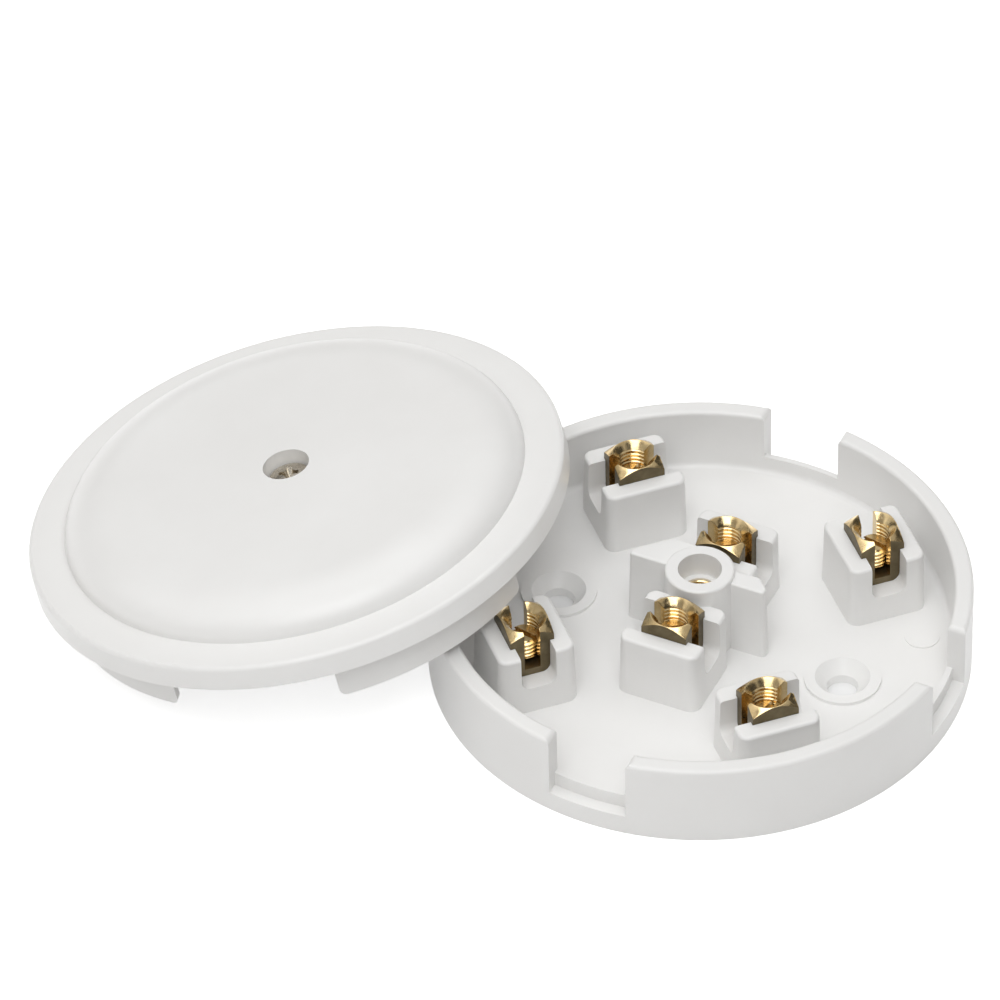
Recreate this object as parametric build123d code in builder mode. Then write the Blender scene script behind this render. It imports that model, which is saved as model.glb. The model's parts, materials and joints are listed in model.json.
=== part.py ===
"""Round six-terminal junction box: moulded base, brass terminals with their screws, and the
lid, which leans on the rim of the open base. Sizes are millimetres. The origin is the middle
of the base's underside, +X points at one fixing hole and +Z goes up out of the base."""

import os
from math import asin, cos, degrees, hypot, radians, sin, sqrt, tan

from build123d import *

os.makedirs("parts", exist_ok=True)

# Base shell
base_radius = 44.5
wall_height = 15.0
wall_thickness = 3.1
floor_thickness = 3.2
rim_fillet = 0.7
floor_fillet = 1.0

# Cable entries, one on each side of the wall
entry_count = 4
entry_width = 13.4
entry_sill_height = 3.7
entry_lip_thickness = 1.0
entry_lip_height = 6.3
entry_fillet = 1.0

# Fixing holes and their bosses
fixing_spacing = 50.8
fixing_hole_radius = 2.6
fixing_countersink_radius = 4.5
fixing_boss_radius = 6.3
fixing_boss_height = 0.6

# Gate mark on the floor
gate_mark_radius = 2.9
gate_mark_height = 0.2
gate_mark_x = 33.2
gate_mark_y = 14.6

# Terminal layout
ring_terminal_radius = 30.4
middle_terminal_offset = 10.6

# Brass terminals
terminal_length = 7.9
terminal_width = 7.5
terminal_height = 9.2
terminal_slot_width = 2.7
terminal_slot_floor = 1.3
terminal_edge_radius = 1.7
crown_radius = 3.65
crown_land = 0.1
crown_outer_angle = 40.0
crown_inner_angle = 48.0

# Terminal screws
terminal_screw_radius = 2.4
terminal_screw_length = 3.9
terminal_screw_lift = 0.5
terminal_screw_clearance = 0.05
terminal_screw_chamfer = 0.4
driver_slot_width = 0.9
driver_slot_depth = 1.3
driver_slot_turn = 35.0

# Moulded pockets that hold the terminals
pocket_top = 14.8
pocket_seat = 8.2
pocket_wall = 2.7
pocket_end = 2.95
pocket_clearance = 0.05
pocket_draft = 1.5
pocket_corner_radius = 1.6
pocket_edge_fillet = 0.6
pocket_lug = 0.8
pocket_stop_height = 1.0
pocket_stop_thickness = 1.2
channel_corner_radius = 1.6

# Middle post and the spine that joins it to its pocket
post_radius = 5.7
post_height = 18.0
post_bore_radius = 3.6
post_bore_depth = 4.6
post_draft = 0.8
spine_height = 17.2
spine_left = 12.4
spine_right = 11.5
spine_tip = 1.2
spine_left_back = 5.9
spine_right_back = 2.9
spine_neck_left = 3.4
spine_neck_right = 4.5
spine_corner_radius = 0.5
spine_front = 0.4
spine_edge_fillet = 0.4

# Brass insert in the post
insert_radius = 2.75
insert_length = 8.0
insert_bore_radius = 2.0
insert_chamfer = 0.4

# Lid
lid_rim_radius = 45.2
lid_rim_height = 4.25
lid_rim_draft = 2.0
lid_rim_fillet = 0.8
lid_foot_radius = 38.7
lid_shoulder_width = 8.5
lid_shoulder_height = 5.35
lid_crown_height = 0.6
lid_shell = 2.0

# Skirt tabs under the lid
tab_count = 4
skirt_clearance = 0.3
skirt_thickness = 1.5
skirt_depth = 7.6
skirt_gap = 27.6
skirt_corner_radius = 1.2

# Screw boss in the middle of the lid
screw_well_radius = 3.9
screw_head_depth = 2.3
screw_boss_wall = 2.0
boss_gap = 0.2

# Lid screw
lid_screw_radius = 1.9
lid_screw_clearance = 0.08
lid_screw_seat_gap = 0.02
lid_screw_head_radius = 3.5
lid_screw_head_height = 2.4
lid_screw_head_crown = 0.8
lid_screw_head_lean = 22.0
lid_screw_tip = 0.6
lid_screw_engagement = 6.0
cross_width = 0.9
cross_span = 3.8
cross_depth = 1.3

# Where the lid leans
lid_reach = 65.75
lid_side_step = 13.2
lid_turn = 1.6
lid_tab_turn = 57.5
contact_gap = 0.03
least_lean = 4.0
most_lean = 30.0
lean_halvings = 24
tab_steps = 100

inner_radius = base_radius - wall_thickness
lip_radius = inner_radius + entry_lip_thickness
fixing_x = fixing_spacing / 2
ring_offset = ring_terminal_radius / sqrt(2)
channel_width = terminal_width + 2 * pocket_clearance
seat_half = terminal_length / 2 + pocket_clearance
pocket_length = terminal_length + 2 * pocket_end
pocket_width = channel_width + 2 * pocket_wall
pocket_rise = pocket_top - floor_thickness
channel_reach = pocket_length
channel_height = post_height
crown_top = pocket_seat + terminal_height
terminal_bore_radius = terminal_screw_radius + terminal_screw_clearance
insert_top = post_height - post_bore_depth
skirt_radius = inner_radius - skirt_clearance
lid_top = lid_rim_height + lid_shoulder_height + lid_crown_height
boss_bottom = post_height - wall_height + boss_gap
head_seat = lid_top - screw_head_depth - lid_screw_head_height
lid_screw_length = head_seat + wall_height - insert_top + lid_screw_engagement

# Each place is x, y and the direction in which the lipped end of the pocket points
places = [
    (-ring_offset, ring_offset, 225),
    (0, middle_terminal_offset, 0),
    (0, -middle_terminal_offset, 0),
    (ring_offset, ring_offset, 315),
    (-ring_offset, -ring_offset, 315),
    (ring_offset, -ring_offset, 225),
]


def stand(place, height=0.0):
    """The plane of one terminal: its x runs along the slot towards the lipped end."""
    x, y, turn = place
    along = (cos(radians(turn)), sin(radians(turn)), 0)
    return Plane(origin=(x, y, height), x_dir=along, z_dir=(0, 0, 1))


def channel(place, start, length, width, bottom):
    """A trough with round lower corners, open at the top, that runs along a pocket."""
    x, y, turn = place
    along = Vector(cos(radians(turn)), sin(radians(turn)), 0)
    across = Vector(-sin(radians(turn)), cos(radians(turn)), 0)
    origin = Vector(x, y, bottom) + along * start
    with BuildPart() as trough:
        with BuildSketch(Plane(origin=origin, x_dir=across, z_dir=along)):
            with Locations((0, channel_height / 2)):
                Rectangle(width, channel_height)
        extrude(amount=length)
        floor_edges = trough.edges().filter_by(Plane(origin=origin, z_dir=along), reverse=True)
        floor_edges = floor_edges.sort_by(Axis.Z)[:2]
        fillet(floor_edges, channel_corner_radius)
    return trough.part


with BuildPart() as pocket_block:
    with BuildSketch():
        spread = pocket_rise * tan(radians(pocket_draft))
        RectangleRounded(
            pocket_length + 2 * spread,
            pocket_width + 2 * spread,
            pocket_corner_radius + spread,
        )
    extrude(amount=pocket_rise, taper=pocket_draft)
    fillet(pocket_block.faces().sort_by(Axis.Z)[-1].edges(), pocket_edge_fillet)

with BuildPart() as post:
    core_rise = post_height - floor_thickness
    Cone(
        post_radius + core_rise * tan(radians(post_draft)),
        post_radius,
        core_rise,
        align=(Align.CENTER, Align.CENTER, Align.MIN),
    )
    fillet(post.edges().filter_by(GeomType.CIRCLE).sort_by(Axis.Z)[-1], spine_edge_fillet)

with BuildPart() as spine:
    with BuildSketch():
        tip_back = spine_tip - spine_front
        Polygon(
            (-spine_left, -spine_front),
            (spine_right, -spine_front),
            (spine_right, tip_back),
            (spine_right + tip_back - spine_right_back, spine_right_back),
            (spine_neck_right, spine_right_back),
            (-spine_neck_left, spine_left_back),
            (-spine_left - tip_back + spine_left_back, spine_left_back),
            (-spine_left, tip_back),
            align=None,
        )
        fillet(vertices(), spine_corner_radius)
        spine_rise = spine_height - floor_thickness
        offset(amount=spine_rise * tan(radians(pocket_draft)), kind=Kind.ARC)
    extrude(amount=spine_rise, taper=pocket_draft)
    fillet(spine.faces().sort_by(Axis.Z)[-1].edges(), spine_edge_fillet)

with BuildPart() as base:
    with BuildSketch():
        Circle(base_radius)
    extrude(amount=wall_height)
    with BuildSketch(Plane.XY.offset(floor_thickness)):
        Circle(inner_radius)
    extrude(amount=wall_height, mode=Mode.SUBTRACT)
    fillet(base.faces().sort_by(Axis.Z)[-1].edges(), rim_fillet)
    inner_foot = base.edges().filter_by(GeomType.CIRCLE).group_by(Axis.Z)[1]
    fillet(inner_foot, floor_fillet)

    # Each entry is cut to a sill, with a thin lip left standing along the inner face
    with BuildSketch(Plane.XY.offset(entry_sill_height)):
        with PolarLocations(base_radius, entry_count):
            Rectangle(base_radius, entry_width)
        Circle(lip_radius, mode=Mode.SUBTRACT)
    extrude(amount=entry_lip_height - entry_sill_height, mode=Mode.SUBTRACT)
    with BuildPart(mode=Mode.PRIVATE) as gate:
        with BuildSketch(Plane.YZ):
            with BuildLine():
                half = entry_width / 2
                bend = wall_height - entry_fillet
                Polyline((0, entry_lip_height), (half, entry_lip_height), (half, bend))
                CenterArc((half + entry_fillet, bend), entry_fillet, 180, -90)
                Polyline((half + entry_fillet, wall_height), (half + entry_fillet, post_height), (0, post_height))
                mirror(about=Plane.YZ)
            make_face()
        extrude(amount=base_radius)
    with PolarLocations(inner_radius - floor_fillet, entry_count):
        add(gate.part, mode=Mode.SUBTRACT)

    # Post, spine and pocket blocks rise from the floor with draft
    for place in places:
        with Locations(stand(place, floor_thickness).location):
            add(pocket_block.part)
    with Locations((0, 0, floor_thickness)):
        add(spine.part)
        add(post.part)

    # Terminal channels: a seat, a low stop at the plain end and lugs at the lipped end
    for place in places:
        add(channel(place, -seat_half, 2 * seat_half, channel_width, pocket_seat), mode=Mode.SUBTRACT)
        stop_bottom = pocket_seat + pocket_stop_height
        add(channel(place, -channel_reach, channel_reach, channel_width, stop_bottom), mode=Mode.SUBTRACT)
        outer_start = -seat_half - pocket_stop_thickness
        outer_length = channel_reach + outer_start
        add(channel(place, -channel_reach, outer_length, channel_width, pocket_seat), mode=Mode.SUBTRACT)
        throat = channel_width - 2 * pocket_lug
        add(channel(place, 0, channel_reach, throat, pocket_seat), mode=Mode.SUBTRACT)

    # Bore and insert hole of the post
    with Locations((0, 0, post_height)):
        Hole(post_bore_radius, post_bore_depth)
    with Locations((0, 0, insert_top)):
        Hole(insert_radius, insert_length)

    # Fixing holes in raised bosses, and the gate mark
    boss_top = floor_thickness + fixing_boss_height
    with BuildSketch(Plane.XY.offset(floor_thickness)):
        with Locations((-fixing_x, 0), (fixing_x, 0)):
            Circle(fixing_boss_radius)
    extrude(amount=fixing_boss_height)
    with Locations((-fixing_x, 0, boss_top), (fixing_x, 0, boss_top)):
        CounterSinkHole(fixing_hole_radius, fixing_countersink_radius)
    with BuildSketch(Plane.XY.offset(floor_thickness)):
        with Locations((gate_mark_x, gate_mark_y)):
            Circle(gate_mark_radius)
    extrude(amount=gate_mark_height)
base.part.label = "base"
export_step(base.part, "parts/base.step")

with BuildPart() as post_insert:
    with Locations((0, 0, insert_top)):
        Cylinder(insert_radius, insert_length, align=(Align.CENTER, Align.CENTER, Align.MAX))
        Hole(insert_bore_radius, insert_length)
    chamfer(post_insert.edges().filter_by(GeomType.CIRCLE).sort_by(Axis.Z)[-2], insert_chamfer)
post_insert.part.label = "post_insert"
export_step(post_insert.part, "parts/post_insert.step")

with BuildPart() as terminal:
    Box(terminal_length, terminal_width, terminal_height, align=(Align.CENTER, Align.CENTER, Align.MIN))
    lower_edges = terminal.edges().filter_by(Axis.X).group_by(Axis.Z)[0]
    fillet(lower_edges, terminal_edge_radius)
    with BuildPart(mode=Mode.INTERSECT):
        with BuildSketch(Plane.XZ):
            with BuildLine():
                corner = hypot(terminal_length, terminal_width)
                outer_land = crown_radius + crown_land / 2
                inner_land = crown_radius - crown_land / 2
                drop = (corner - outer_land) * tan(radians(crown_outer_angle))
                dish = (inner_land - terminal_bore_radius) * tan(radians(crown_inner_angle))
                Polyline(
                    (0, 0),
                    (corner, 0),
                    (corner, terminal_height - drop),
                    (outer_land, terminal_height),
                    (inner_land, terminal_height),
                    (terminal_bore_radius, terminal_height - dish),
                    (terminal_bore_radius, terminal_slot_floor),
                    (0, terminal_slot_floor),
                    close=True,
                )
            make_face()
        revolve(axis=Axis.Z)
    with Locations((0, 0, terminal_slot_floor)):
        Box(
            2 * terminal_length,
            terminal_slot_width,
            terminal_height,
            align=(Align.CENTER, Align.CENTER, Align.MIN),
            mode=Mode.SUBTRACT,
        )

with BuildPart() as grub_screw:
    Cylinder(
        terminal_screw_radius,
        terminal_screw_length,
        align=(Align.CENTER, Align.CENTER, Align.MIN),
    )
    chamfer(grub_screw.edges().filter_by(GeomType.CIRCLE), terminal_screw_chamfer)
    with Locations((0, 0, terminal_screw_length)):
        Box(
            2 * terminal_screw_radius,
            driver_slot_width,
            2 * driver_slot_depth,
            rotation=(0, 0, driver_slot_turn),
            mode=Mode.SUBTRACT,
        )

screw_bottom = pocket_seat + terminal_slot_floor + terminal_screw_lift
for number, place in enumerate(places, start=1):
    with BuildPart() as seated_terminal:
        with Locations(stand(place, pocket_seat).location):
            add(terminal.part)
    seated_terminal.part.label = f"terminal_{number}"
    export_step(seated_terminal.part, f"parts/terminal_{number}.step")
    with BuildPart() as seated_screw:
        with Locations(stand(place, screw_bottom).location):
            add(grub_screw.part)
    seated_screw.part.label = f"terminal_screw_{number}"
    export_step(seated_screw.part, f"parts/terminal_screw_{number}.step")

half_gap = degrees(asin(skirt_gap / 2 / skirt_radius))
tab_pitch = 360 / tab_count
tab_middles = [lid_tab_turn + tab_pitch * number for number in range(tab_count)]

with BuildPart() as flat_lid:
    with BuildSketch(Plane.XZ):
        with BuildLine():
            top_radius = lid_rim_radius - lid_rim_height * tan(radians(lid_rim_draft))
            plateau_radius = lid_foot_radius - lid_shoulder_width
            plateau_height = lid_rim_height + lid_shoulder_height
            Line((0, 0), (lid_rim_radius, 0))
            Line((lid_rim_radius, 0), (top_radius, lid_rim_height))
            Line((top_radius, lid_rim_height), (lid_foot_radius, lid_rim_height))
            EllipticalCenterArc(
                (plateau_radius, lid_rim_height),
                lid_shoulder_width,
                lid_shoulder_height,
                start_angle=0,
                arc_size=90,
            )
            Spline(
                (plateau_radius, plateau_height),
                (0, lid_top),
                tangents=[(-1, 0), (-1, 0)],
            )
            Line((0, lid_top), (0, 0))
        make_face()
    revolve(axis=Axis.Z)
    rim_edge = flat_lid.edges().filter_by(GeomType.CIRCLE).group_by(SortBy.RADIUS)[-2]
    fillet(rim_edge, lid_rim_fillet)

    # The shell follows the outside down to the skirt
    with BuildSketch(Plane.XZ):
        with BuildLine():
            hollow_radius = skirt_radius - skirt_thickness
            Line((0, 0), (hollow_radius, 0))
            Line((hollow_radius, 0), (hollow_radius, lid_rim_height - lid_shell))
            Line(
                (hollow_radius, lid_rim_height - lid_shell),
                (lid_foot_radius - lid_shell, lid_rim_height - lid_shell),
            )
            Line(
                (lid_foot_radius - lid_shell, lid_rim_height - lid_shell),
                (lid_foot_radius - lid_shell, lid_rim_height),
            )
            EllipticalCenterArc(
                (plateau_radius, lid_rim_height),
                lid_shoulder_width - lid_shell,
                lid_shoulder_height - lid_shell,
                start_angle=0,
                arc_size=90,
            )
            Spline(
                (plateau_radius, plateau_height - lid_shell),
                (0, lid_top - lid_shell),
                tangents=[(-1, 0), (-1, 0)],
            )
            Line((0, lid_top - lid_shell), (0, 0))
        make_face()
    revolve(axis=Axis.Z, mode=Mode.SUBTRACT)

    # Skirt tabs
    with BuildPart() as skirt:
        with BuildSketch(Plane.XY.offset(-skirt_depth)):
            Circle(skirt_radius)
            Circle(skirt_radius - skirt_thickness, mode=Mode.SUBTRACT)
            for middle in tab_middles:
                with Locations(Location((0, 0), middle + tab_pitch / 2)):
                    with Locations((skirt_radius, 0)):
                        Rectangle(skirt_radius, skirt_gap, mode=Mode.SUBTRACT)
        extrude(amount=skirt_depth)
        tab_ends = skirt.edges().group_by(Axis.Z)[0].filter_by(GeomType.LINE)
        fillet(tab_ends, skirt_corner_radius)

    # Screw boss and its stepped hole
    with BuildSketch(Plane.XY.offset(boss_bottom)):
        Circle(screw_well_radius + screw_boss_wall)
    extrude(amount=lid_top - lid_shell / 2 - boss_bottom)
    with Locations((0, 0, lid_top)):
        CounterBoreHole(
            lid_screw_radius + lid_screw_clearance,
            screw_well_radius,
            lid_top - head_seat,
        )

with BuildPart() as flat_lid_screw:
    with BuildSketch(Plane.XZ):
        with BuildLine():
            under = head_seat + lid_screw_seat_gap
            side = under + lid_screw_head_height - lid_screw_head_crown
            tip = head_seat - lid_screw_length
            Polyline(
                (0, under + lid_screw_head_height),
                (0, tip),
                (lid_screw_radius - lid_screw_tip, tip),
                (lid_screw_radius, tip + lid_screw_tip),
                (lid_screw_radius, under),
                (lid_screw_head_radius, under),
                (lid_screw_head_radius, side),
            )
            TangentArc(
                (lid_screw_head_radius, side),
                (0, under + lid_screw_head_height),
                tangent=(-sin(radians(lid_screw_head_lean)), cos(radians(lid_screw_head_lean))),
            )
        make_face()
    revolve(axis=Axis.Z)
    with Locations((0, 0, under + lid_screw_head_height)):
        Box(cross_span, cross_width, 2 * cross_depth, mode=Mode.SUBTRACT)
        Box(cross_width, cross_span, 2 * cross_depth, mode=Mode.SUBTRACT)


def lean_plane(tilt):
    """The lid's own plane at one tilt, with its lowest tab just above the table."""
    down = Vector(cos(radians(180 + lid_turn)), sin(radians(180 + lid_turn)), 0)
    up = Vector(0, 0, 1)
    x_dir = down * cos(radians(tilt)) - up * sin(radians(tilt))
    z_dir = down * sin(radians(tilt)) + up * cos(radians(tilt))
    flat = Plane(origin=(-lid_reach, -lid_side_step, 0), x_dir=x_dir, z_dir=z_dir)
    lowest = min(foot.Z for foot in tab_feet(flat))
    return Plane(origin=flat.origin + up * (contact_gap - lowest), x_dir=x_dir, z_dir=z_dir)


def tab_feet(plane):
    """Points along the lower edges of the tabs of a lid that lies in the plane."""
    feet = []
    half_tab = tab_pitch / 2 - half_gap
    for middle in tab_middles:
        for step in range(tab_steps + 1):
            angle = radians(middle - half_tab + 2 * half_tab * step / tab_steps)
            for radius in (skirt_radius, skirt_radius - skirt_thickness):
                foot = (radius * cos(angle), radius * sin(angle), -skirt_depth)
                feet.append(plane.from_local_coords(Vector(foot)))
    return feet


def base_gap(tilt):
    """How far the tabs of the leaning lid stay above the rim and the terminals."""
    gaps = [wall_height]
    for foot in tab_feet(lean_plane(tilt)):
        if inner_radius <= hypot(foot.X, foot.Y) <= base_radius:
            gaps.append(foot.Z - wall_height)
        for x, y, turn in places:
            if hypot(foot.X - x, foot.Y - y) <= crown_radius:
                gaps.append(foot.Z - crown_top)
    return min(gaps)


flat_tilt = least_lean
steep_tilt = most_lean
for step in range(lean_halvings):
    tilt = (flat_tilt + steep_tilt) / 2
    if base_gap(tilt) < contact_gap:
        flat_tilt = tilt
    else:
        steep_tilt = tilt
lid_plane = lean_plane(steep_tilt)

with BuildPart() as lid:
    with Locations(lid_plane.location):
        add(flat_lid.part)
lid.part.label = "lid"
export_step(lid.part, "parts/lid.step")

with BuildPart() as lid_screw:
    with Locations(lid_plane.location):
        add(flat_lid_screw.part)
lid_screw.part.label = "lid_screw"
export_step(lid_screw.part, "parts/lid_screw.step")

print("lid tilt", round(steep_tilt, 3), "origin", lid_plane.origin, "axis", lid_plane.z_dir)
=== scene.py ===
import json
from math import cos, hypot, pi, radians, sin

import bmesh
import bpy
from mathutils import Matrix, Vector


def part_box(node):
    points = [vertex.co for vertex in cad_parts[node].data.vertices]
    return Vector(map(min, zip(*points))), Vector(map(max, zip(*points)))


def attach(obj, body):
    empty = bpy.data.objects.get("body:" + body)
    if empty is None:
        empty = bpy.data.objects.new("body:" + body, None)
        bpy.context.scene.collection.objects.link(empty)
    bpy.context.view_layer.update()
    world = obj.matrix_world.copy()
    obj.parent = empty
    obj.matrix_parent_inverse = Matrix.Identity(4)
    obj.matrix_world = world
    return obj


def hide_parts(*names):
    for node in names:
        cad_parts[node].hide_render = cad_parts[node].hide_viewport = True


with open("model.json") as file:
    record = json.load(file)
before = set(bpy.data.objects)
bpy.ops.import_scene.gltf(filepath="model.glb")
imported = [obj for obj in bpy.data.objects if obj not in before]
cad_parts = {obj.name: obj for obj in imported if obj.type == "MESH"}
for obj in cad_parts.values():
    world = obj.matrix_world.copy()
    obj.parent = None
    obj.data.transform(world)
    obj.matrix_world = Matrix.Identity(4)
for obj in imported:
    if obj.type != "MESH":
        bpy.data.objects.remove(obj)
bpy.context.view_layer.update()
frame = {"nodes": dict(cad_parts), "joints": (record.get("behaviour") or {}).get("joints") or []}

MM = 0.001
scene = bpy.context.scene

# Camera at the photograph's viewing angle, in the frame's millimetres
FOCAL_PIXELS = 8456.3
IMAGE_PIXELS = 1000
SENSOR = 36.0
CAMERA_PLACE = Vector((413.036, -919.201, 949.753))
CAMERA_RIGHT = Vector((0.904887, 0.425339, -0.016324))
CAMERA_UP = Vector((-0.275273, 0.614019, 0.739733))

camera_data = bpy.data.cameras.new("camera")
camera_data.sensor_width = SENSOR
camera_data.lens = FOCAL_PIXELS / IMAGE_PIXELS * SENSOR
camera_data.clip_start = 0.05
camera_data.clip_end = 100
camera = bpy.data.objects.new("camera", camera_data)
scene.collection.objects.link(camera)
back = CAMERA_RIGHT.cross(CAMERA_UP)
turn = Matrix((CAMERA_RIGHT, CAMERA_UP, back)).transposed()
camera.matrix_world = Matrix.Translation(CAMERA_PLACE * MM) @ turn.to_4x4()
scene.camera = camera
scene.view_settings.view_transform = "Standard"


# Node materials

def blank(name):
    """A new node material, with its nodes, its links and its Principled shader."""
    made = bpy.data.materials.new(name)
    made.use_nodes = True
    nodes = made.node_tree.nodes
    return made, nodes, made.node_tree.links, nodes["Principled BSDF"]


def noise(nodes, links, where, scale, detail):
    node = nodes.new("ShaderNodeTexNoise")
    node.inputs["Scale"].default_value = scale
    node.inputs["Detail"].default_value = detail
    links.new(where, node.inputs["Vector"])
    return node.outputs["Fac"]


def spread(nodes, links, value, low, high, start=0.3, end=0.7):
    """Maps a value from start and end to low and high, and holds it there beyond them."""
    node = nodes.new("ShaderNodeMapRange")
    node.inputs["From Min"].default_value = start
    node.inputs["From Max"].default_value = end
    node.inputs["To Min"].default_value = low
    node.inputs["To Max"].default_value = high
    links.new(value, node.inputs["Value"])
    return node.outputs["Result"]


def calculate(nodes, links, operation, *values):
    """A maths node on sockets and plain numbers."""
    node = nodes.new("ShaderNodeMath")
    node.operation = operation
    for socket, value in zip(node.inputs, values):
        if isinstance(value, (int, float)):
            socket.default_value = value
        else:
            links.new(value, socket)
    return node.outputs[0]


def blend_colours(nodes, links, value, first, second):
    """Mixes two colours, each three numbers or a socket."""
    node = nodes.new("ShaderNodeMix")
    node.data_type = "RGBA"
    links.new(value, node.inputs[0])
    for socket, colour in zip((node.inputs[6], node.inputs[7]), (first, second)):
        if isinstance(colour, tuple):
            socket.default_value = (*colour, 1)
        else:
            links.new(colour, socket)
    return node.outputs[2]


def bump(nodes, links, height, depth, strength, under=None):
    """A bumped normal, over another one where under gives it."""
    node = nodes.new("ShaderNodeBump")
    node.inputs["Strength"].default_value = strength
    node.inputs["Distance"].default_value = depth
    links.new(height, node.inputs["Height"])
    if under is not None:
        links.new(under, node.inputs["Normal"])
    return node.outputs["Normal"]


def moulded_plastic():
    """Glossy white moulding: faint cloudiness, uneven gloss and a shallow orange peel."""
    made, nodes, links, shader = blank("moulded_white")
    where = nodes.new("ShaderNodeTexCoord").outputs["Object"]
    cloud = spread(nodes, links, noise(nodes, links, where, 55, 4), 0, 1)
    colour = blend_colours(nodes, links, cloud, (0.850, 0.843, 0.831), (0.879, 0.874, 0.864))
    links.new(colour, shader.inputs["Base Color"])
    gloss = spread(nodes, links, noise(nodes, links, where, 240, 5), 0.29, 0.37)
    links.new(gloss, shader.inputs["Roughness"])
    peel = bump(nodes, links, noise(nodes, links, where, 420, 0), 0.00001, 0.1)
    grain = bump(nodes, links, noise(nodes, links, where, 6000, 2), 0.000002, 0.25, peel)
    links.new(grain, shader.inputs["Normal"])
    shader.inputs["IOR"].default_value = 1.49
    return made


def drawn_skin(nodes, links, where):
    """1 on a terminal's flat outer faces and slot floor, which keep a dark skin, else 0."""
    axes = nodes.new("ShaderNodeSeparateXYZ")
    links.new(where, axes.inputs[0])
    height = axes.outputs["Z"]
    slot_floor = spread(nodes, links, height, 1, 0, (SLOT_FLOOR + 0.01) * MM, (SLOT_FLOOR + 0.04) * MM)
    sides = []
    for axis_name, half in (("X", TERMINAL_LENGTH / 2), ("Y", TERMINAL_WIDTH / 2)):
        out = calculate(nodes, links, "ABSOLUTE", axes.outputs[axis_name])
        sides.append(spread(nodes, links, out, 0, 1, (half - 0.05) * MM, (half - 0.01) * MM))
    outer = calculate(nodes, links, "MAXIMUM", *sides)
    return calculate(nodes, links, "MAXIMUM", slot_floor, outer)


def polished_brass(name, drawn):
    """Turned brass with fine lathe rings and small colour drift. A drawn bar has darker, duller faces."""
    made, nodes, links, shader = blank(name)
    where = nodes.new("ShaderNodeTexCoord").outputs["Object"]
    drift = spread(nodes, links, noise(nodes, links, where, 420, 4), 0, 1)
    colour = blend_colours(nodes, links, drift, (0.68, 0.50, 0.25), (0.81, 0.64, 0.36))
    gloss = spread(nodes, links, noise(nodes, links, where, 900, 5), 0.14, 0.30)
    if drawn:
        skin = drawn_skin(nodes, links, where)
        dark = blend_colours(nodes, links, drift, (0.135, 0.108, 0.062), (0.22, 0.178, 0.108))
        colour = blend_colours(nodes, links, skin, colour, dark)
        gloss = calculate(nodes, links, "MULTIPLY_ADD", skin, 0.2, gloss)
    links.new(colour, shader.inputs["Base Color"])
    shader.inputs["Metallic"].default_value = 1.0
    links.new(gloss, shader.inputs["Roughness"])
    rings = nodes.new("ShaderNodeTexWave")
    rings.wave_type = "RINGS"
    rings.rings_direction = "Z"
    rings.inputs["Scale"].default_value = 2300
    rings.inputs["Distortion"].default_value = 0.6
    rings.inputs["Detail"].default_value = 2
    links.new(where, rings.inputs["Vector"])
    lathe = bump(nodes, links, rings.outputs["Fac"], 0.000002, 0.3)
    grain = bump(nodes, links, noise(nodes, links, where, 2600, 2), 0.000004, 0.15, lathe)
    links.new(grain, shader.inputs["Normal"])
    return made


def plated_steel():
    """Zinc-plated steel: grey with a cool and warm drift, and fine scratches."""
    made, nodes, links, shader = blank("plated_steel")
    where = nodes.new("ShaderNodeTexCoord").outputs["Object"]
    drift = spread(nodes, links, noise(nodes, links, where, 700, 4), 0, 1)
    colour = blend_colours(nodes, links, drift, (0.50, 0.455, 0.38), (0.66, 0.61, 0.53))
    links.new(colour, shader.inputs["Base Color"])
    shader.inputs["Metallic"].default_value = 1.0
    gloss = spread(nodes, links, noise(nodes, links, where, 1500, 5), 0.18, 0.36)
    links.new(gloss, shader.inputs["Roughness"])
    grain = bump(nodes, links, noise(nodes, links, where, 4200, 3), 0.00001, 0.3)
    links.new(grain, shader.inputs["Normal"])
    return made


# Terminal sizes in millimetres, as in the CAD
TERMINAL_LENGTH = 7.9
TERMINAL_WIDTH = 7.5
TERMINAL_BORE = 2.45
SLOT_FLOOR = 1.3

white = moulded_plastic()
drawn_brass = polished_brass("drawn_brass", True)
brass = polished_brass("brass", False)
steel = plated_steel()


# Mesh helpers. Pieces are modelled in millimetres in their own frame

def closed_mesh(name, corners, faces):
    """A mesh whose faces all look outwards."""
    mesh = bpy.data.meshes.new(name)
    mesh.from_pydata(corners, [], faces)
    work = bmesh.new()
    work.from_mesh(mesh)
    bmesh.ops.recalc_face_normals(work, faces=work.faces)
    work.to_mesh(mesh)
    work.free()
    return mesh


def turned(name, profile, segments=72):
    """A lathe-turned solid whose profile runs from the axis to the axis, as (radius, height)."""
    corners = []
    rings = []
    for radius, height in profile:
        count = segments if radius else 1
        rings.append([len(corners) + i for i in range(count)])
        for i in range(count):
            angle = 2 * pi * i / segments
            corners.append((radius * cos(angle), radius * sin(angle), height))
    faces = []
    for low, high in zip(rings, rings[1:]):
        for i in range(segments):
            j = (i + 1) % segments
            if len(low) == 1:
                faces.append((low[0], high[i], high[j]))
            elif len(high) == 1:
                faces.append((low[i], low[j], high[0]))
            else:
                faces.append((low[i], low[j], high[j], high[i]))
    return closed_mesh(name, corners, faces)


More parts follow.
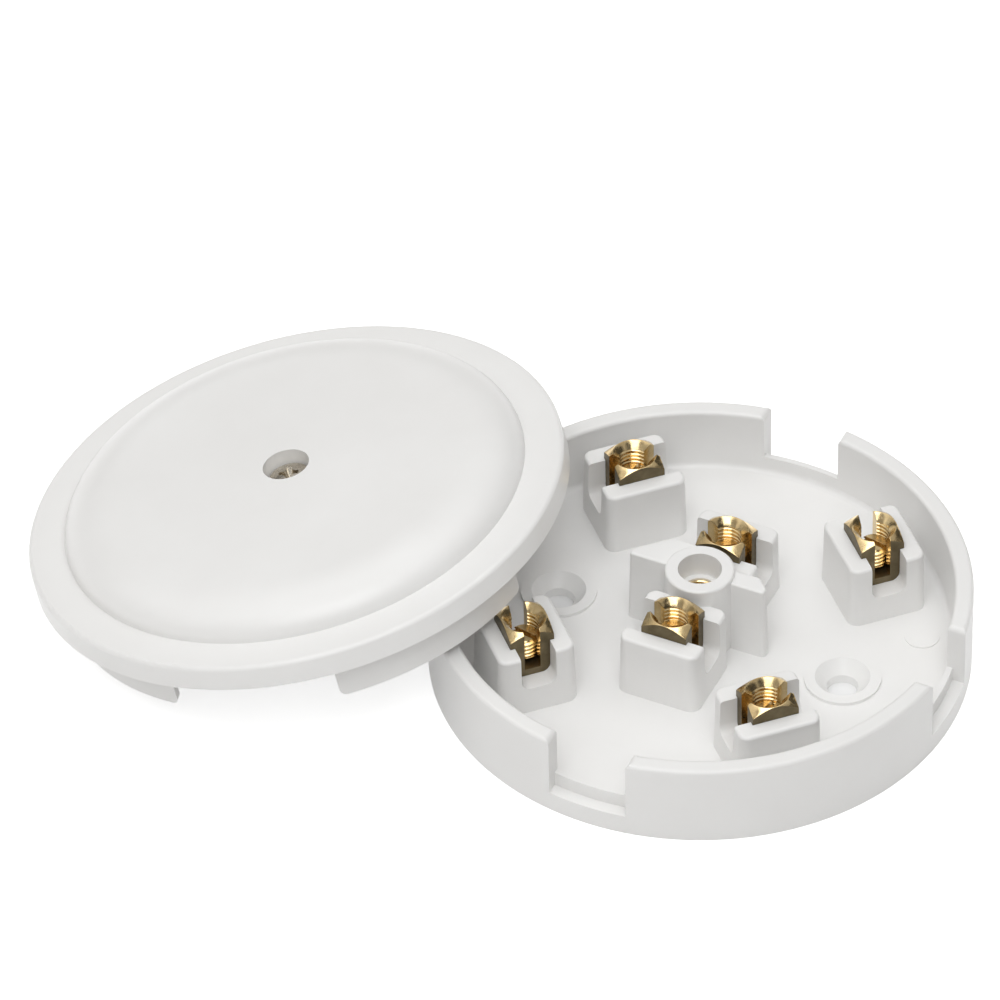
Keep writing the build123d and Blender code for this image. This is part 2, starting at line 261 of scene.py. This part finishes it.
def thread_cutter(mouth, root, half_width, pitch, bottom, top):
    """A closed V-shaped sweep along a helix. It fades out over half a turn at both ends."""
    segments = 48
    thinnest = 0.03
    crest = 0.05 * pitch
    steps = round((top - bottom) / pitch * segments)
    fade = segments / 2
    corners = []
    for step in range(steps + 1):
        angle = 2 * pi * step / segments
        middle = bottom + pitch * step / segments
        share = max(thinnest, min(1, step / fade, (steps - step) / fade))
        reach = mouth + (root - mouth) * share
        section = ((mouth, -half_width), (mouth, half_width), (reach, crest), (reach, -crest))
        for radius, rise in section:
            corners.append((radius * cos(angle), radius * sin(angle), middle + rise))
    faces = [(0, 1, 2, 3), tuple(4 * steps + i for i in (3, 2, 1, 0))]
    for step in range(steps):
        near = 4 * step
        far = near + 4
        for i in range(4):
            j = (i + 1) % 4
            faces.append((near + i, near + j, far + j, far + i))
    return closed_mesh("thread_cutter", corners, faces)


def tapered_box(long_top, long_bottom, wide_top, wide_bottom, bottom, top, angle):
    """A box that narrows towards its bottom, turned about the vertical axis."""
    corners = []
    for height, along, across in ((bottom, long_bottom, wide_bottom), (top, long_top, wide_top)):
        for x, y in ((-1, -1), (1, -1), (1, 1), (-1, 1)):
            px, py = x * along / 2, y * across / 2
            turned_x = px * cos(angle) - py * sin(angle)
            turned_y = px * sin(angle) + py * cos(angle)
            corners.append((turned_x, turned_y, height))
    faces = [(0, 3, 2, 1), (4, 5, 6, 7), (0, 1, 5, 4), (1, 2, 6, 5), (2, 3, 7, 6), (3, 0, 4, 7)]
    return closed_mesh("tapered_box", corners, faces)


WELD = 0.0005
FLAT = radians(0.4)
BEVELLED = radians(30)
SHARP = radians(18)


def solid_of(node, to_local):
    """A CAD node's surface, welded into one closed mesh in millimetres in its own frame."""
    source = frame["nodes"][node].data
    corners = [to_local @ v.co / MM for v in source.vertices]
    faces = [tuple(p.vertices) for p in source.polygons]
    mesh = bpy.data.meshes.new("solid")
    mesh.from_pydata(corners, [], faces)
    work = bmesh.new()
    work.from_mesh(mesh)
    bmesh.ops.remove_doubles(work, verts=work.verts, dist=WELD)
    bmesh.ops.dissolve_limit(work, angle_limit=FLAT, verts=work.verts, edges=work.edges)
    bmesh.ops.recalc_face_normals(work, faces=work.faces)
    work.to_mesh(mesh)
    work.free()
    return mesh


def machined(name, mesh, cutters, edge=0.0):
    """Rounds the edges of a solid and takes the cutters away from it. The result is in metres."""
    work = bpy.data.objects.new("work", mesh)
    scene.collection.objects.link(work)
    if edge:
        bevel = work.modifiers.new("edge", "BEVEL")
        bevel.width = edge
        bevel.segments = 2
        bevel.limit_method = "ANGLE"
        bevel.angle_limit = BEVELLED
    tools = []
    for cutter in cutters:
        tool = bpy.data.objects.new("tool", cutter)
        scene.collection.objects.link(tool)
        tools.append(tool)
        cut = work.modifiers.new("cut", "BOOLEAN")
        cut.operation = "DIFFERENCE"
        cut.solver = "EXACT"
        cut.object = tool
    bpy.context.view_layer.update()
    seen = work.evaluated_get(bpy.context.evaluated_depsgraph_get())
    made = bpy.data.meshes.new_from_object(seen)
    for used in [work, *tools]:
        bpy.data.objects.remove(used)
    made.name = name
    made.transform(Matrix.Scale(MM, 4))
    made.shade_smooth()
    made.set_sharp_from_angle(angle=SHARP)
    return made


def place(name, mesh, matrix, body, node, material):
    """Puts a piece where it stands, instead of a CAD node."""
    piece = bpy.data.objects.new(name, mesh)
    scene.collection.objects.link(piece)
    piece.matrix_world = matrix
    mesh.materials.clear()
    mesh.materials.append(material)
    weigh = piece.modifiers.new("weigh", "WEIGHTED_NORMAL")
    weigh.keep_sharp = True
    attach(piece, body)
    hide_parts(node)
    return piece


def dress(node, material):
    """Gives a CAD node that shows as it is a material."""
    slots = frame["nodes"][node].data.materials
    slots.clear()
    slots.append(material)


dress("base", white)
dress("lid", white)

# Terminals: the CAD shape with broken edges and a thread in the bore
TURNS = (225, 0, 0, 315, 315, 225)
BROKEN_EDGE = 0.04
THREAD_PITCH = 0.8
BORE_THREAD_DEPTH = 0.2
SCREW_RADIUS = 2.4
SCREW_CHAMFER = 0.4
SCREW_THREAD_DEPTH = 0.4
DRIVER_SLOT_WIDTH = 0.9
DRIVER_SLOT_DEPTH = 1.3
DRIVER_SLOT_TURN = radians(35)


def stand(node, turn):
    """Where a terminal or its screw stands: its axis at the height of its underside."""
    low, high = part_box(node)
    middle = (low + high) / 2
    return Matrix.Translation((middle.x, middle.y, low.z)) @ Matrix.Rotation(radians(turn), 4, "Z")


terminal_low, terminal_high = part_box("terminal_2")
terminal_height = (terminal_high.z - terminal_low.z) / MM
bore_cutter = thread_cutter(
    mouth=TERMINAL_BORE - 0.12,
    root=TERMINAL_BORE + BORE_THREAD_DEPTH,
    half_width=0.3,
    pitch=THREAD_PITCH,
    bottom=SLOT_FLOOR + 0.5,
    top=terminal_height - 0.7,
)
terminal_solid = solid_of("terminal_2", stand("terminal_2", 0).inverted())
terminal_mesh = machined("terminal", terminal_solid, [bore_cutter], BROKEN_EDGE)
screw_low, screw_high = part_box("terminal_screw_2")
screw_length = (screw_high.z - screw_low.z) / MM
screw_blank = turned(
    "screw_blank",
    (
        (0, 0),
        (SCREW_RADIUS - SCREW_CHAMFER, 0),
        (SCREW_RADIUS, SCREW_CHAMFER),
        (SCREW_RADIUS, screw_length - SCREW_CHAMFER),
        (SCREW_RADIUS - SCREW_CHAMFER, screw_length),
        (0, screw_length),
    ),
)
screw_thread = thread_cutter(
    mouth=SCREW_RADIUS + 0.1,
    root=SCREW_RADIUS - SCREW_THREAD_DEPTH,
    half_width=0.36,
    pitch=THREAD_PITCH,
    bottom=-0.4,
    top=screw_length + 0.4,
)
driver_slot = tapered_box(
    long_top=6,
    long_bottom=6,
    wide_top=DRIVER_SLOT_WIDTH,
    wide_bottom=DRIVER_SLOT_WIDTH,
    bottom=screw_length - DRIVER_SLOT_DEPTH,
    top=screw_length + 1,
    angle=DRIVER_SLOT_TURN,
)
screw_mesh = machined("terminal_screw", screw_blank, [screw_thread, driver_slot])

for number, turn in enumerate(TURNS, start=1):
    node = f"terminal_{number}"
    place(f"{node}_threaded", terminal_mesh, stand(node, turn), "box", node, drawn_brass)
    node = f"terminal_screw_{number}"
    place(f"{node}_threaded", screw_mesh, stand(node, turn), node, node, brass)

# Post insert: a threaded bush
LID_THREAD_PITCH = 0.7
LID_THREAD_WIDTH = 0.62
insert_low, insert_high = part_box("post_insert")
insert_length = (insert_high.z - insert_low.z) / MM
insert_cutter = thread_cutter(
    mouth=1.9,
    root=2.3,
    half_width=LID_THREAD_WIDTH / 2,
    pitch=LID_THREAD_PITCH,
    bottom=-0.5,
    top=insert_length + 0.5,
)
insert_place = stand("post_insert", 0)
insert_mesh = machined("post_insert", solid_of("post_insert", insert_place.inverted()), [insert_cutter])
place("post_insert_threaded", insert_mesh, insert_place, "box", "post_insert", brass)

# Lid screw: a domed head with a tapered cross recess, and a threaded shank
SHANK = 1.9
SHANK_CHAMFER = 0.6
SHANK_THREAD_DEPTH = 0.32
HEAD = 3.5
HEAD_HEIGHT = 2.4
HEAD_SIDE = 1.45
HEAD_CHAMFER = 0.15
RECESS_DEPTH = 1.5
RECESS_TIP_DEPTH = 1.9
RECESS_TURNS = (radians(20), radians(110))
slide = next(j for j in frame["joints"] if j["name"] == "lid_screw_slide")
axis = Vector(slide["axis"]).normalized()
down = Vector((axis.x, axis.y, 0)).normalized()
along = down * axis.z - Vector((0, 0, 1)) * hypot(axis.x, axis.y)
across = axis.cross(along)
points = [v.co for v in frame["nodes"]["lid_screw"].data.vertices]
heights = [point.dot(axis) for point in points]
tip_height = min(heights) + 0.01 * MM
tip_points = [point for point, height in zip(points, heights) if height < tip_height]
tip_low, tip_high = (Vector(pick(p[i] for p in tip_points) for i in range(3)) for pick in (min, max))
tip = (tip_low + tip_high) / 2
screw_frame = Matrix.Translation(tip) @ Matrix((along, across, axis)).transposed().to_4x4()
total = (max(heights) - min(heights)) / MM
under = total - HEAD_HEIGHT
dome = [
    (HEAD * cos(a), under + HEAD_SIDE + (HEAD_HEIGHT - HEAD_SIDE) * sin(a))
    for a in (radians(15 * k) for k in range(6))
]
lid_screw_blank = turned(
    "lid_screw_blank",
    [
        (0, 0),
        (SHANK - SHANK_CHAMFER, 0),
        (SHANK, SHANK_CHAMFER),
        (SHANK, under),
        (HEAD - HEAD_CHAMFER, under),
        (HEAD, under + HEAD_CHAMFER),
        *dome,
        (0, total),
    ],
    segments=96,
)
lid_screw_thread = thread_cutter(
    mouth=SHANK + 0.1,
    root=SHANK - SHANK_THREAD_DEPTH,
    half_width=LID_THREAD_WIDTH / 2,
    pitch=LID_THREAD_PITCH,
    bottom=-0.4,
    top=under - 1.2,
)
above = total + 0.3
recess_tip = total - RECESS_TIP_DEPTH
recess = [tapered_box(4.0, 1.3, 0.95, 0.5, total - RECESS_DEPTH, above, turn) for turn in RECESS_TURNS]
recess_cone = ((0, recess_tip), (0.45, recess_tip + 0.3), (1.15, above), (0, above))
recess.append(turned("recess", recess_cone, segments=24))
lid_screw_mesh = machined("lid_screw", lid_screw_blank, [lid_screw_thread, *recess])
place("lid_screw_threaded", lid_screw_mesh, screw_frame, "lid_screw", "lid_screw", steel)


# Floor and light

GLOW_START = 0.040
GLOW_FULL = 0.043
GLOW = 0.7


def studio_floor():
    """White paper that shows white all round the base but stays dark under its holes."""
    made, nodes, links, shader = blank("studio_floor")
    nodes.remove(shader)
    output = nodes["Material Output"]
    paper = nodes.new("ShaderNodeBsdfDiffuse")
    paper.inputs["Color"].default_value = (0.80, 0.80, 0.80, 1)
    glow = nodes.new("ShaderNodeEmission")
    ray = nodes.new("ShaderNodeLightPath").outputs
    either = calculate(nodes, links, "MAXIMUM", ray["Is Camera Ray"], ray["Is Glossy Ray"])
    shown = calculate(nodes, links, "MAXIMUM", either, ray["Is Transmission Ray"])
    away = nodes.new("ShaderNodeVectorMath")
    away.operation = "LENGTH"
    links.new(nodes.new("ShaderNodeTexCoord").outputs["Object"], away.inputs[0])
    clear = spread(nodes, links, away.outputs["Value"], 0, GLOW, GLOW_START, GLOW_FULL)
    level = calculate(nodes, links, "MULTIPLY", shown, clear)
    links.new(level, glow.inputs["Strength"])
    both = nodes.new("ShaderNodeAddShader")
    links.new(paper.outputs[0], both.inputs[0])
    links.new(glow.outputs[0], both.inputs[1])
    links.new(both.outputs[0], output.inputs["Surface"])
    return made


floor_mesh = bpy.data.meshes.new("floor")
reach = 30.0
floor_height = -0.02 * MM
corners = [(x * reach, y * reach, floor_height) for x, y in ((-1, -1), (1, -1), (1, 1), (-1, 1))]
floor_mesh.from_pydata(corners, [], [(0, 1, 2, 3)])
floor = bpy.data.objects.new("floor", floor_mesh)
scene.collection.objects.link(floor)
floor_mesh.materials.append(studio_floor())

# The sky is bright near the horizon, which polished metal mirrors, and dim above
world = bpy.data.worlds.new("studio")
scene.world = world
world.use_nodes = True
sky_nodes = world.node_tree.nodes
sky_links = world.node_tree.links
direction = sky_nodes.new("ShaderNodeTexCoord").outputs["Generated"]
height_of = sky_nodes.new("ShaderNodeSeparateXYZ")
sky_links.new(direction, height_of.inputs[0])
band = spread(sky_nodes, sky_links, height_of.outputs["Z"], 1.0, 0.06, 0.07, 0.14)
sky_nodes["Background"].inputs["Color"].default_value = (1, 0.97, 0.93, 1)
sky_links.new(band, sky_nodes["Background"].inputs["Strength"])

MIDDLE = Vector((-0.03, 0.0, 0.01))


def softbox(name, azimuth, elevation, distance, size, power, colour=(1, 0.985, 0.965)):
    """A square area lamp that faces the object. Azimuth 0 is behind the +Y side, 90 is +X."""
    lamp = bpy.data.lights.new(name, "AREA")
    lamp.shape = "SQUARE"
    lamp.size = size
    lamp.energy = power
    lamp.color = colour
    holder = bpy.data.objects.new(name, lamp)
    scene.collection.objects.link(holder)
    a, e = radians(azimuth), radians(elevation)
    towards = Vector((sin(a) * cos(e), cos(a) * cos(e), sin(e)))
    holder.location = MIDDLE + towards * distance
    holder.rotation_mode = "QUATERNION"
    holder.rotation_quaternion = towards.to_track_quat("Z", "Y")
    holder.visible_camera = False


softbox("top_light", 0, 88, 1.3, 1.4, 5.8, (0.975, 0.99, 1))
softbox("front_light", 158, 56, 1.4, 0.9, 7.9, (0.985, 0.995, 1))
softbox("front_left_light", 205, 42, 1.4, 1.4, 1.8)
softbox("left_light", 250, 46, 1.4, 1.4, 3.6)
softbox("right_light", 70, 58, 1.4, 1.4, 2.8)
softbox("rear_light", 335, 48, 1.4, 1.4, 3.3)
